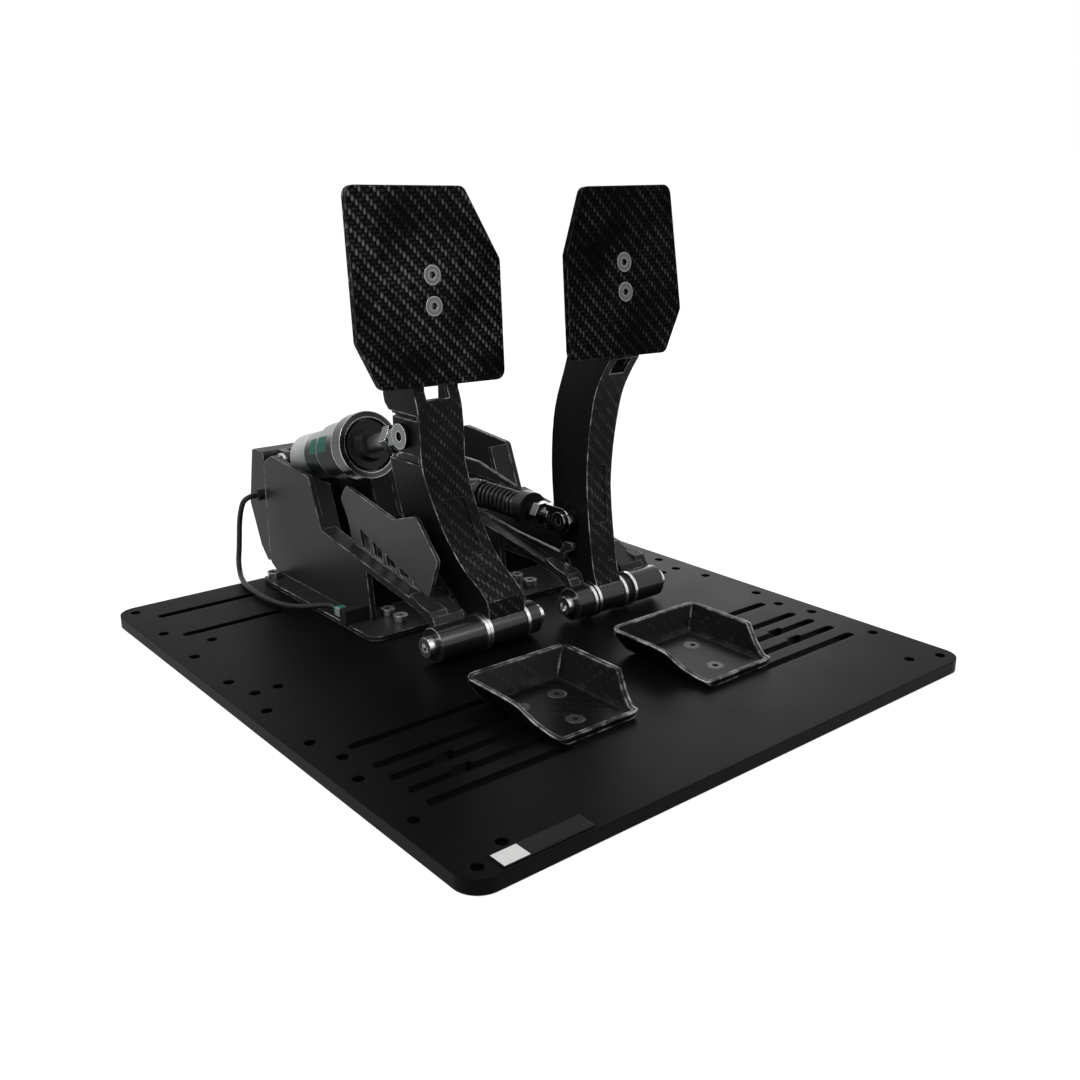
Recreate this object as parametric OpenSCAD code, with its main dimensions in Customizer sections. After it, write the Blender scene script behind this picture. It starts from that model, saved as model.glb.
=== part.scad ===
// Sim racing pedal set: a drilled base plate carries a brake module, a throttle module and two heel rests.
// +X is the driver's right, +Y points away from the driver, z = 0 is the underside of the base plate.
// Inside raised() heights are counted from the plate's top face.

/* [Base plate] */
// Width of the base plate
plate_w = 388; // [376:1:420]
// Depth of the base plate
plate_d = 422; // [416:1:460]
// Thickness of the base plate
plate_t = 8; // [6:0.5:12]
// Corner radius of the base plate
plate_corner_r = 14; // [6:1:24]
// Diameter of the mounting holes
hole_d = 6.6; // [5.5:0.1:7.5]
// Distance between the mounting holes of a row
hole_pitch = 50; // [48:0.5:50]
// Distance from a mounting hole row to the side edge
hole_inset = 11; // [9:0.5:13]
// Width of the adjusting slots
slot_w = 6.2; // [5:0.1:7]

/* [Frames] */
// Position of the brake frame's left end
brake_x = -73; // [-76:0.5:-70]
// Distance between the brake and throttle frames
module_pitch = 113; // [111:0.5:118]
// Height of the pivot axis above the plate's top
pivot_h = 12.5; // [12:0.1:13]
// Radius of the pivot tubes
tube_r = 11.2; // [10.5:0.1:11.4]
// Thickness of the frame walls
wall_t = 4; // [3:0.1:4.2]
// Thickness of the frame floor
floor_t = 3; // [2:0.1:4]
// Thickness of the inner cheek
cheek_t = 2.5; // [2:0.1:3]

/* [Pivots] */
// Radius of the pivot shafts
shaft_r = 5; // [4.5:0.1:5.5]
// Radial running clearance of a turning fit
running_gap = 0.05; // [0.03:0.01:0.08]
// Radial clearance of a fixed fit
fixed_gap = 0.02; // [0.01:0.01:0.05]
// Wall of the flanged bushes
bush_wall = 3; // [2:0.1:3.2]
// Thickness of the bush flanges and thrust rings
ring_t = 2.3; // [1.8:0.1:2.4]
// Radial clearance of the open pivot at the front eyes
eye_gap = 1.2; // [1.1:0.1:1.4]

/* [Brake arm] */
// Thickness of the arm walls
arm_wall = 3.5; // [3:0.1:4]
// Height of the damper's front pin above the plate's top
brake_pin_z = 137; // [136:0.5:138]
// Height of the point where the brake face is set
brake_face_z = 225; // [223:0.5:228]
// Tilt of the brake face
brake_face_tilt = 3.5; // [2:0.5:5]

/* [Throttle arm] */
// Height of the spring unit's front pin above the plate's top
throttle_pin_z = 65; // [64:0.5:66]
// Height of the point where the throttle face is set
throttle_face_z = 230; // [228:0.5:233]
// Tilt of the throttle face
throttle_face_tilt = 6; // [5:0.5:7]

/* [Faces] */
// Thickness of the face plates
face_t = 4; // [3:0.5:5]
// Corner radius of the face plates
face_corner_r = 6; // [3:0.5:8]
// Diameter of the face screw heads
face_head_d = 12; // [10:0.5:13]
// Distance between the two face screws
face_screw_pitch = 18.3; // [16:0.1:20]

/* [Brake damper] */
// Distance between the damper's eyes
damper_len = 181; // [176:0.5:186]
// Slope of the damper below level
damper_slope = 16; // [15.6:0.1:16.4]
// Radius of the damper can
can_r = 17.2; // [16:0.1:17.3]
// Radius of the sleeve around the can
sleeve_r = 20; // [19:0.1:20.5]
// Radius of the flange ring
collar_r = 23; // [21.5:0.1:23.5]
// Radius of the damper rod
damper_rod_r = 6; // [5:0.1:6.5]
// Radius of the damper's pins
damper_pin_r = 5; // [4.5:0.1:5.2]

/* [Throttle spring unit] */
// Radius of the spring unit's rod
spring_rod_r = 4; // [3.6:0.1:4.2]
// Radius of the spring unit's cap
spring_cap_r = 12.5; // [11:0.1:12.5]
// Mean radius of the coil
coil_r = 8.7; // [8.6:0.1:9]
// Diameter of the spring wire
wire_d = 2.4; // [2:0.1:2.4]
// Radius of the spring unit's pins
spring_pin_r = 4; // [3.5:0.1:4.2]

/* [Heel rests] */
// Height of the heel rest walls
heel_h = 16; // [14:0.5:18]
// Thickness of the heel rest shell
heel_t = 2.5; // [2:0.1:3]

/* [Hidden] */
$fn = 48;

carbon = [0.07, 0.07, 0.075];
black = [0.03, 0.03, 0.03];
silver = [0.75, 0.75, 0.76];
steel = [0.55, 0.55, 0.57];

// Frame layout, counted from the frame's left tube end
throttle_x = brake_x + module_pitch;
frame_w = 79;
wall_inset = 5;
left_in = wall_inset + wall_t;
right_out = frame_w - wall_inset;
right_in = right_out - wall_t;
cheek_u = 15;
bar_t = 5;
pivot_y = -6;
bar_front = [3.6, 30];
bar_rear = [141, 52.8];
cell_t = 4;
screw_t = 6;
foot_over = 11;
flange_w = 20;
floor_front = 47;
side_gap = 0.3;
ring_r = min(tube_r + 0.9, pivot_h - 0.4);

// Bolts and sockets
bolt_r = 3;
bolt_head_r = 5;
bolt_head_h = 5;

// Brake arm, positions across and along the pedal
brake_half = 14.2;
brake_flare = 2.3;
brake_arm_u = right_in - ring_t - side_gap - brake_half;
brake_boss_u = [brake_arm_u - brake_half, brake_arm_u + brake_half];
brake_tube_end = brake_boss_u[0] - 2 * ring_t - side_gap;
brake_top_u = 27;
lean_lo = 33;
lean_hi = 120;
channel_z = 37;
ear_groove = 2;
brake_top = 247;
brake_pin_y = 34.5;
brake_face_y = 22;
ear_y = [19.5, 47];
ear_z = [126, 148];

// Throttle arm, positions across and along the pedal
throttle_arm_u = 30.6;
throttle_top = 252;
throttle_pin_y = 16;
throttle_face_y = -21;
throttle_half = 11;
throttle_boss_u = [throttle_arm_u - throttle_half, throttle_arm_u + throttle_half];
sensor_room = 6.8;
throttle_tube_end = throttle_boss_u[0] - 2 * ring_t - 1.6;
throttle_right_tube = throttle_boss_u[1] + 2 * ring_t + sensor_room;

// Brake damper, distances along its axis from the front pin
damper_eye_t = 10;
eyelet_end = 34;
nut_t = 8;
collar_s = 72;
collar_end = 84;
can_front = 78;
can_end = damper_len - 22;
can_bore_end = can_end - 8;
sleeve_end = 112;
tail_end = damper_len - 13;
tail_eye_t = 12;
tail_eye_r = 8;
lug_gap = 0.4;
lug_t = 5.6;

// Throttle spring unit, distances along its axis from the front pin
unit_u = 13.6;
unit_eye_t = 7.2;
unit_neck_r = 5.6;
anchor_pin = [128, 64];
nut_s = 22;
spring_front = 44;
spring_rear = 91;
coil_turns = 9;

// Rear pin of the damper, and the frame's rear edge just behind it
damper_rear = [brake_pin_y + damper_len * cos(damper_slope), brake_pin_z - damper_len * sin(damper_slope)];
clevis_reach = tail_eye_r + lug_gap + 1.2;
wall_rear_y = damper_rear[0] + clevis_reach + cell_t;
bolt_rear_y = wall_rear_y - 24;
bolt_spots = [[20, 62], [20, 78], [frame_w - 21, 62], [frame_w - 21, 78], [-4.5, bolt_rear_y],
  [frame_w + 0.5, bolt_rear_y]];
unit_slope = atan2(anchor_pin[1] - throttle_pin_z, anchor_pin[0] - throttle_pin_y);
unit_len = norm(anchor_pin - [throttle_pin_y, throttle_pin_z]);
bush_r = shaft_r + bush_wall;

// Height of the bar's top face at a distance y
function bar_z(y) =
  bar_front[1] + (bar_rear[1] - bar_front[1]) * (y - bar_front[0]) / (bar_rear[0] - bar_front[0]);
// Back plane of a tilted face at height z
function face_back(y, zc, tilt, z) = y + face_t / cos(tilt) + (z - zc) * tan(tilt);
function unit2(v) = v / norm(v);
// Points of the arc that rounds the corner b between a and c
function corner_arc(a, b, c, r, n) =
  let (u = unit2(a - b))
  let (w = unit2(c - b))
  let (half = acos(u * w) / 2)
  let (m = b + unit2(u + w) * r / sin(half))
  let (p = b + u * r / tan(half) - m)
  let (q = b + w * r / tan(half) - m)
  let (a0 = atan2(p[1], p[0]))
  let (turn = atan2(q[1], q[0]) - a0)
  let (da = turn > 180 ? turn - 360 : turn < -180 ? turn + 360 : turn)
  [for (k = [0:n]) m + r * [cos(a0 + da * k / n), sin(a0 + da * k / n)]];
// Polygon points with every corner rounded to radius r
function rounded(pts, r, n = 4) =
  let (c = len(pts))
  [for (i = [0:c - 1]) each corner_arc(pts[(i + c - 1) % c], pts[i], pts[(i + 1) % c], r, n)];
// Points moved by v
function shifted(pts, v) = [for (p = pts) p + v];
function backwards(pts) = [for (i = [len(pts) - 1:-1:0]) pts[i]];

module raised() {
  translate([0, 0, plate_t])
    children();
}
// Side outline in y and z, drawn out along x
module along_x(x0, x1) {
  translate([x0, 0, 0])
    rotate([90, 0, 90])
      linear_extrude(x1 - x0)
        children();
}
// Front outline in x and z, drawn out along y
module along_y(y0, y1) {
  translate([0, y1, 0])
    rotate([90, 0, 0])
      linear_extrude(y1 - y0)
        children();
}
module bar_x(r, x0, x1, y, z) {
  translate([x0, y, z])
    rotate([0, 90, 0])
      cylinder(r = r, h = x1 - x0);
}
module ring_x(r, bore, x0, x1, y, z) {
  difference() {
    bar_x(r, x0, x1, y, z);
    bar_x(bore, x0 - 1, x1 + 1, y, z);
  }
}
module round_rect(w, d, r) {
  square([w - 2 * r, d], center = true);
  square([w, d - 2 * r], center = true);
  for (x = [-1, 1], y = [-1, 1])
    translate([x * (w / 2 - r), y * (d / 2 - r)])
      circle(r = r);
}
// Local z runs along the damper from its front pin to its rear pin
module damper_axis() {
  translate([brake_x + brake_top_u, brake_pin_y, brake_pin_z])
    rotate([-90 - damper_slope, 0, 0])
      children();
}
// Local z runs along the spring unit from its front pin to its rear pin
module unit_axis() {
  translate([throttle_x + unit_u, throttle_pin_y, throttle_pin_z])
    rotate([unit_slope - 90, 0, 0])
      children();
}
// Plain socket in a screw head
module hex_socket(r, depth) {
  translate([0, 0, -depth])
    cylinder(r = r, h = depth + 1, $fn = 6);
}

// Base plate
module slot_x(x0, x1, y) {
  translate([(x0 + x1) / 2, y, -1])
    linear_extrude(plate_t + 2)
      round_rect(abs(x1 - x0), slot_w, slot_w / 2 - 0.01);
}
module plate_hole(x, y, r) {
  translate([x, y, -1])
    cylinder(r = r, h = plate_t + 2);
}
module base_plate() {
  edge = plate_w / 2;
  row_x = edge - hole_inset;
  color(black)
    difference() {
      linear_extrude(plate_t)
        round_rect(plate_w, plate_d, plate_corner_r);
      for (s = [-1, 1], k = [-4:4])
        plate_hole(s * row_x, k * hole_pitch, hole_d / 2);
      for (s = [-1, 1], p = [[16.5, -75], [16.5, 26], [31.5, 26], [31.5, -191], [31.5, 120]])
        plate_hole(s * (edge - p[0]), p[1], hole_d / 2);
      for (s = [-1, 1]) {
        slot_x(s * 77.5, s * (edge - 24), -68);
        for (y = [-94, -110, -126, -142])
          slot_x(s * 77.5, s * (edge - 23), y);
        for (y = [-110, -126])
          translate([s * 135, y + slot_w / 2, plate_t / 2])
            cube([12, 5, plate_t + 2], center = true);
        for (y = [139, 182])
          slot_x(s * 100, s * (edge - 20), y);
      }
      for (m = [brake_x, throttle_x], p = bolt_spots)
        plate_hole(m + p[0], p[1], bolt_r + fixed_gap);
      for (p = heel_spots)
        plate_hole(p[0], p[1], heel_screw_r + fixed_gap);
    }
}

// Frames
module wall_side() {
  polygon(rounded([[74, 0], [79.5, bar_z(79.5) - 1], [138, bar_z(138) - 1], [153, 88.5],
    [wall_rear_y - 13, 93.6], [wall_rear_y, 86.4], [wall_rear_y, 8], [wall_rear_y - 16, 0]], 5));
}
module bar_side() {
  polygon([[-3, pivot_h + 8], bar_front, bar_rear, bar_rear - [0, bar_t], [8, bar_z(8) - bar_t],
    [1, pivot_h + 3]]);
}
module nose_side() {
  polygon([[-4, pivot_h + 7], [1, 27], [26, 36], [27, 32], [4, 22], [1, pivot_h + 2]]);
}
module tower_flange_side() {
  polygon([[138, 48], [153, 87], [157, 85.5], [142, 48]]);
}
// Openings in the cheek's foot, one rung apart
module ladder_cut(count) {
  for (k = [0:count - 1]) {
    y1 = 36 + 16 * k;
    y0 = y1 - 11.5;
    polygon([[y0, bar_z(y0) + 1.5], [y1, bar_z(y1) + 1.5], [y1 + 2, bar_z(y1) + 3.6 + 0.15 * (y1 - 28)],
      [y0 + 2, bar_z(y0) + 3.6 + 0.15 * (y0 - 28)]]);
  }
}
module brake_cheek() {
  difference() {
    polygon(rounded([[20, 31], [16, 42], [8.5, 60], [32, 84.5], [59, 76.5], [118, 87.5], [126, 77],
      [117, 64], [112, 46]], 3));
    ladder_cut(5);
  }
}
module throttle_cheek() {
  polygon(rounded([[66, 76], [118, 87.5], [150, 88], [155, 84], [152, 77], [108, 76.5]], 0.8));
  polygon(rounded([[20, 31], [16, 42], [8.5, 44], [10, 49], [17, 49], [23, 40], [70, 43.5], [112, 49],
    [112, 46]], 0.8));
}
module frame(x0, left_end, right_start, nose_end) {
  floor_d = wall_rear_y - 15 - floor_front;
  difference() {
    translate([x0, 0, 0]) {
      along_x(wall_inset, left_in)
        wall_side();
      along_x(right_in, right_out)
        wall_side();
      along_x(wall_inset, cheek_u + cheek_t)
        bar_side();
      along_x(right_in, frame_w)
        bar_side();
      along_x(wall_inset, wall_inset + flange_w - 4)
        tower_flange_side();
      along_x(right_out - flange_w, right_out)
        tower_flange_side();
      along_x(cheek_u, cheek_u + cheek_t)
        children();
      along_x(wall_inset, nose_end)
        nose_side();
      along_x(right_start, right_out)
        nose_side();
      bar_x(tube_r, 0, left_end, pivot_y, pivot_h);
      bar_x(tube_r, right_start, frame_w, pivot_y, pivot_h);
      difference() {
        translate([frame_w / 2, floor_front + floor_d / 2, 0])
          linear_extrude(floor_t)
            round_rect(frame_w + 2 * foot_over, floor_d, 8);
        translate([frame_w / 2, (94 + bolt_rear_y) / 2, -1])
          linear_extrude(floor_t + 2)
            round_rect(frame_w - 39, bolt_rear_y - 94, 6);
      }
    }
    bar_x(shaft_r + fixed_gap, x0 - 1, x0 + frame_w + 1, pivot_y, pivot_h);
    for (p = bolt_spots)
      translate([x0 + p[0], p[1], -1])
        cylinder(r = bolt_r + fixed_gap, h = floor_t + 2);
    bar_x(ring_r + 0.7, x0 + left_end, x0 + right_start, pivot_y, pivot_h);
  }
}
// Room for the damper between the towers
module damper_room() {
  damper_axis()
    translate([0, 0, 90])
      cylinder(r = sleeve_r + 2, h = 46);
}
module brake_frame() {
  color(carbon)
    raised()
      difference() {
        frame(brake_x, brake_tube_end, right_in, brake_tube_end - 6)
          brake_cheek();
        damper_room();
      }
}
module throttle_frame() {
  color(carbon)
    raised()
      frame(throttle_x, throttle_tube_end, throttle_right_tube, throttle_tube_end)
        throttle_cheek();
}
module bulkhead(x0) {
  translate([x0, 0, 0])
    along_x(wall_inset, right_out)
      polygon(rounded([[wall_rear_y, 94], [wall_rear_y + 18, 94], [wall_rear_y + 28, 50],
        [wall_rear_y + 14, 18], [wall_rear_y, 4]], 3));
}
module brake_bulkhead() {
  color(carbon)
    raised()
      bulkhead(brake_x);
}
module throttle_bulkhead() {
  color(carbon)
    raised()
      bulkhead(throttle_x);
}
module frame_bolts(x0) {
  for (p = bolt_spots)
    translate([x0 + p[0], p[1], floor_t])
      difference() {
        union() {
          cylinder(r = bolt_head_r, h = bolt_head_h);
          translate([0, 0, 1 - floor_t - plate_t])
            cylinder(r = bolt_r, h = floor_t + plate_t - 0.5);
        }
        translate([0, 0, bolt_head_h])
          hex_socket(2.3, 2);
      }
}
module brake_frame_bolts() {
  color(silver)
    raised()
      frame_bolts(brake_x);
}
module throttle_frame_bolts() {
  color(silver)
    raised()
      frame_bolts(throttle_x);
}

// Pivots
module pivot_shaft(x0) {
  bar_x(shaft_r, x0, x0 + frame_w, pivot_y, pivot_h);
}
module brake_pivot_shaft() {
  color(steel)
    raised()
      pivot_shaft(brake_x);
}
module throttle_pivot_shaft() {
  color(steel)
    raised()
      pivot_shaft(throttle_x);
}
module pivot_screws(x0) {
  for (m = [0, 1])
    translate([x0 + frame_w / 2, pivot_y, pivot_h])
      mirror([m, 0, 0])
        translate([-frame_w / 2, 0, 0])
          rotate([0, -90, 0])
            difference() {
              cylinder(r = 6.5, h = screw_t);
              translate([0, 0, screw_t])
                hex_socket(3.4, 3);
            }
}
module brake_pivot_screws() {
  color(silver)
    raised()
      pivot_screws(brake_x);
}
module throttle_pivot_screws() {
  color(silver)
    raised()
      pivot_screws(throttle_x);
}
module thrust_ring(x) {
  ring_x(ring_r, shaft_r + fixed_gap, x, x + ring_t, pivot_y, pivot_h);
}
module brake_thrust_rings() {
  color(silver)
    raised()
      thrust_ring(brake_x + brake_tube_end);
}
module throttle_thrust_rings() {
  color(silver)
    raised() {
      thrust_ring(throttle_x + throttle_tube_end);
      thrust_ring(throttle_x + throttle_right_tube - ring_t);
    }
}
module flanged_bush(x, side) {
  translate([x, pivot_y, pivot_h])
    rotate([0, 90 * side, 0])
      difference() {
        union() {
          cylinder(r = bush_r, h = 9);
          translate([0, 0, -ring_t])
            cylinder(r = ring_r, h = ring_t);
        }
        translate([0, 0, -ring_t - 1])
          cylinder(r = shaft_r + running_gap, h = ring_t + 11);
      }
}
module brake_bushes() {
  color(silver)
    raised() {
      flanged_bush(brake_x + brake_boss_u[0], 1);
      flanged_bush(brake_x + brake_boss_u[1], -1);
    }
}
module throttle_bushes() {
  color(silver)
    raised() {
      flanged_bush(throttle_x + throttle_boss_u[0], 1);
      flanged_bush(throttle_x + throttle_boss_u[1], -1);
    }
}

// Brake arm: an open-backed channel cut from a side outline and a leaning front outline
function brake_back(z) = face_back(brake_face_y, brake_face_z, brake_face_tilt, z);
brake_front_rim = concat(smooth([[-12, 33], [-6, 41], [5, 52], [13.5, 71], [17, 97], [16.6, 117],
  [16.6, 137], [18.5, 155], [brake_back(165), 165]]), [[brake_back(brake_top), brake_top]]);
brake_rear_rim = smooth([[46, brake_top], [54, 200], [57, 160], [50, 147], [53.5, 114], [58, 94], [60, 75],
  [50, 52], [30, 30]]);
module brake_front(inset, z0, z1) {
  lo = brake_x + brake_arm_u;
  hi = brake_x + brake_top_u;
  mid = lo + (hi - lo) * (76 - lean_lo) / (lean_hi - lean_lo);
  base = brake_half - inset;
  wide = base + brake_flare;
  polygon(concat(
    rounded_run([[lo + base, z0], [lo + base, lean_lo], [mid + wide - 1, 76], [hi + wide, lean_hi],
      [hi + wide, 150], [hi + wide + 1, z1]], 50, 4),
    rounded_run([[hi - wide - 1, z1], [hi - wide, 150], [hi - wide, lean_hi], [mid - wide + 1, 76],
      [lo - base, lean_lo], [lo - base, z0]], 50, 4)));
}
module brake_pocket() {
  lo = brake_x + brake_arm_u;
  hi = brake_x + brake_top_u;
  step = (hi - lo) / (lean_hi - lean_lo);
  polygon(rounded([[lo + step * (58 - lean_lo) - 7, 58], [lo + step * (58 - lean_lo) + 7, 58],
    [lo + step * (96 - lean_lo) + 9, 96], [lo + step * (96 - lean_lo) - 9, 96]], 3));
}
module brake_arm() {
  bore_x = brake_x + brake_boss_u[0];
  pin_x = brake_x + brake_top_u;
  color(carbon)
    raised()
      difference() {
        union() {
          intersection() {
            along_x(brake_x, brake_x + frame_w)
              polygon(concat([[2, pivot_h - 2], [pivot_y - 8, pivot_h]], brake_front_rim, brake_rear_rim));
            along_y(-40, 90)
              brake_front(0, pivot_h - 3, brake_top);
          }
          bar_x(tube_r, bore_x, brake_x + brake_boss_u[1], pivot_y, pivot_h);
        }
        intersection() {
          along_x(brake_x, brake_x + frame_w)
            polygon(concat(channel_front(brake_front_rim, brake_top),
              [[100, brake_top - 6], [100, channel_z]]));
          along_y(-40, 110)
            brake_front(arm_wall, pivot_h, brake_top - 6);
        }
        intersection() {
          along_x(brake_x, brake_x + frame_w)
            polygon(concat(shifted(brake_front_rim, [1.4, 0]), backwards(shifted(brake_front_rim, [-12, 0]))));
          along_y(-40, 90)
            brake_pocket();
        }
        translate([pin_x - 8.5, 0, 160])
          cube([17, 30, 12]);
        translate([pin_x + 5, brake_back(165) + 17, 150])
          cube([30, 60, 17]);
        translate([pin_x - 30, ear_y[0], ear_z[0] - 5.5])
          cube([26, 60, 5.5]);
        translate([pin_x - 30, ear_y[0], ear_z[1]])
          cube([30 - brake_half - brake_flare + ear_groove, 60, 3]);
        translate([pin_x - 30, ear_y[1], ear_z[0] - 1])
          cube([26, 60, ear_z[1] - ear_z[0] + 2]);
        bar_x(damper_pin_r + fixed_gap, pin_x - 40, pin_x + 40, brake_pin_y, brake_pin_z);
        bar_x(bush_r + fixed_gap, bore_x - 1, bore_x + 60, pivot_y, pivot_h);
        brake_face_at()
          face_screw_holes();
      }
}
// Outline points, with the inner corners rounded and both ends kept
function rounded_run(pts, r, n = 3) =
  let (c = len(pts))
  concat([pts[0]], [for (i = [1:c - 2]) each corner_arc(pts[i - 1], pts[i], pts[i + 1], r, n)], [pts[c - 1]]);
// Even curve through the points, n steps between each two
function smooth(pts, n = 4) =
  let (c = len(pts))
  concat([for (i = [0:c - 2], k = [0:n - 1])
    curve_point(pts[max(i - 1, 0)], pts[i], pts[i + 1], pts[min(i + 2, c - 1)], k / n)], [pts[c - 1]]);
function curve_point(a, b, c, d, t) =
  (2 * b + (c - a) * t + (2 * a - 5 * b + 4 * c - d) * t * t + (3 * b - a - 3 * c + d) * t * t * t) / 2;
// Inner face of an arm's front wall, from just above the boss to just under the top
function channel_front(rim, top) =
  let (inner = [for (q = rim) if (q[1] > channel_z + 4 && q[1] < top - 10) q + [arm_wall, 0]])
  concat([[inner[0][0] - 4, channel_z]], inner, [[rim[len(rim) - 1][0] + arm_wall, top - 6]]);

// Faces
module face_screw_holes() {
  for (k = [0, 1])
    translate([0, -1, face_screw_pitch * (0.5 - k)])
      rotate([-90, 0, 0])
        cylinder(r = bolt_r + fixed_gap, h = 30);
}
module face_plate(outline) {
  difference() {
    along_y(0, face_t)
      polygon(rounded(outline, face_corner_r));
    face_screw_holes();
    for (k = [0, 1])
      translate([0, 0, face_screw_pitch * (0.5 - k)])
        face_head(fixed_gap);
  }
}
// Countersunk head, flush with the front of the face
module face_head(gap) {
  translate([0, -0.001, 0])
    rotate([-90, 0, 0])
      cylinder(r1 = face_head_d / 2 + gap, r2 = bolt_r + gap, h = face_t - 1);
}
module face_screws() {
  for (k = [0, 1])
    translate([0, 0, face_screw_pitch * (0.5 - k)])
      difference() {
        union() {
          face_head(0);
          translate([0, 0.5, 0])
            rotate([-90, 0, 0])
              cylinder(r = bolt_r, h = face_t + arm_wall + 2);
        }
        rotate([90, 0, 0])
          hex_socket(2.3, 1.8);
      }
}
module brake_face_at() {
  translate([brake_x + brake_top_u, brake_face_y, brake_face_z])
    rotate([-brake_face_tilt, 0, 0])
      children();
}
module throttle_face_at() {
  translate([throttle_x + throttle_arm_u, throttle_face_y, throttle_face_z])
    rotate([-throttle_face_tilt, 0, 0])
      children();
}
module brake_face() {
  color(carbon)
    raised()
      brake_face_at()
        face_plate([[-55.5, 60.6], [26, 60], [51, 16.5], [50.8, -57.6], [-41.2, -55.8], [-55, -27.3]]);
}
module throttle_face() {
  color(carbon)
    raised()
      throttle_face_at()
        face_plate([[-31.5, 54.8], [43.5, 56], [48.8, -22.5], [33.2, -50], [-49.3, -48.5], [-47.5, 15.2]]);
}
module brake_face_screws() {
  color(silver)
    raised()
      brake_face_at()
        face_screws();
}
module throttle_face_screws() {
  color(silver)
    raised()
      throttle_face_at()
        face_screws();
}

// Throttle arm: the same channel, upright
function throttle_back(z) = face_back(throttle_face_y, throttle_face_z, throttle_face_tilt, z);
throttle_front_rim = concat(smooth([[-12, 22], [-8, 32], [-4, 54], [-1, 77], [0, 97], [-2, 124], [-7.5, 152],
  [-15, 168], [throttle_back(179), 179]]), [[throttle_back(throttle_top), throttle_top]]);
throttle_rear_rim = smooth([[4, throttle_top], [10, 215], [19, 178], [32.5, 141], [36.7, 105], [35, 74],
  [30, 52], [12, 26]]);
module throttle_front(inset, z0, z1) {
  c = throttle_x + throttle_arm_u;
  a = throttle_half - inset;
  polygon([[c - a, z0], [c + a, z0], [c + a, 90], [c + a + 3.5, z1], [c - a - 3.5, z1], [c - a, 90]]);
}
module throttle_arm() {
  c = throttle_x + throttle_arm_u;
  color(carbon)
    raised()
      difference() {
        union() {
          intersection() {
            along_x(throttle_x, throttle_x + frame_w)
              polygon(concat([[2, pivot_h - 2], [pivot_y - 8, pivot_h]], throttle_front_rim,
                throttle_rear_rim));
            along_y(-60, 90)
              throttle_front(0, pivot_h - 3, throttle_top);
          }
          bar_x(tube_r, throttle_x + throttle_boss_u[0], throttle_x + throttle_boss_u[1], pivot_y, pivot_h);
        }
        intersection() {
          along_x(throttle_x, throttle_x + frame_w)
            polygon(concat(channel_front(throttle_front_rim, throttle_top),
              [[100, throttle_top - 6], [100, channel_z]]));
          along_y(-60, 110)
            throttle_front(arm_wall, pivot_h, throttle_top - 6);
        }
        intersection() {
          along_x(throttle_x, throttle_x + frame_w)
            polygon(concat(shifted(throttle_front_rim, [1.4, 0]),
              backwards(shifted(throttle_front_rim, [-12, 0]))));
          translate([c, 20, 84])
            rotate([90, 0, 0])
              linear_extrude(60)
                round_rect(13, 40, 3);
        }
        translate([c - 6.5, -40, 168.5])
          cube([13, 40, 10]);
        bar_x(spring_pin_r + fixed_gap, c - 30, c - throttle_half + arm_wall + 1,
          throttle_pin_y, throttle_pin_z);
        bar_x(bush_r + fixed_gap, throttle_x - 1, throttle_x + 60, pivot_y, pivot_h);
        throttle_face_at()
          face_screw_holes();
      }
}

// Pin joint between the brake arm and the damper
module brake_pin() {
  c = brake_x + brake_top_u;
  half = brake_half + brake_flare;
  color(silver)
    raised()
      difference() {
        union() {
          bar_x(damper_pin_r, c - half - 0.5, c + half + 0.5, brake_pin_y, brake_pin_z);
          bar_x(8, c - half - 4, c - half, brake_pin_y, brake_pin_z);
          bar_x(8, c + half, c + half + 4, brake_pin_y, brake_pin_z);
        }
        translate([c - half - 4, brake_pin_y, brake_pin_z])
          rotate([0, -90, 0])
            hex_socket(3.4, 3);
      }
}
module brake_pin_spacers() {
  c = brake_x + brake_top_u;
  inner = brake_half + brake_flare - arm_wall;
  color(steel)
    raised()
      for (m = [0, 1])
        translate([c, 0, 0])
          mirror([m, 0, 0])
            ring_x(8, damper_pin_r + fixed_gap, damper_eye_t / 2 + lug_gap, inner, brake_pin_y, brake_pin_z);
}

// Brake damper
module flat_eye(r, t, bore, reach) {
  difference() {
    union() {
      rotate([0, 90, 0])
        cylinder(r = r, h = t, center = true);
      translate([-t / 2, -r, 0])
        cube([t, 2 * r, reach]);
    }
    rotate([0, 90, 0])
      cylinder(r = bore, h = t + 2, center = true);
  }
}
module damper_eyelet() {
  color(silver)
    raised()
      damper_axis()
        difference() {
          union() {
            flat_eye(10, damper_eye_t, damper_pin_r + eye_gap, eyelet_end - 6);
            translate([0, 0, 14])
              cylinder(r = 9, h = eyelet_end - 14);
          }
          translate([0, 0, 16])
            cylinder(r = damper_rod_r + fixed_gap, h = 20);
        }
}
module damper_lock_nut() {
  color(silver)
    raised()
      damper_axis()
        translate([0, 0, eyelet_end])
          difference() {
            cylinder(r = 10.5, h = nut_t, $fn = 6);
            translate([0, 0, -1])
              cylinder(r = damper_rod_r + fixed_gap, h = nut_t + 2);
          }
}
module damper_rod() {
  color(silver)
    raised()
      damper_axis()
        translate([0, 0, 16])
          cylinder(r = damper_rod_r, h = 82);
}
module damper_piston() {
  color(steel)
    raised()
      damper_axis()
        translate([0, 0, 88])
          difference() {
            cylinder(r = can_r - 3 - running_gap, h = 8);
            translate([0, 0, -1])
              cylinder(r = damper_rod_r + fixed_gap, h = 10);
          }
}
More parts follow.
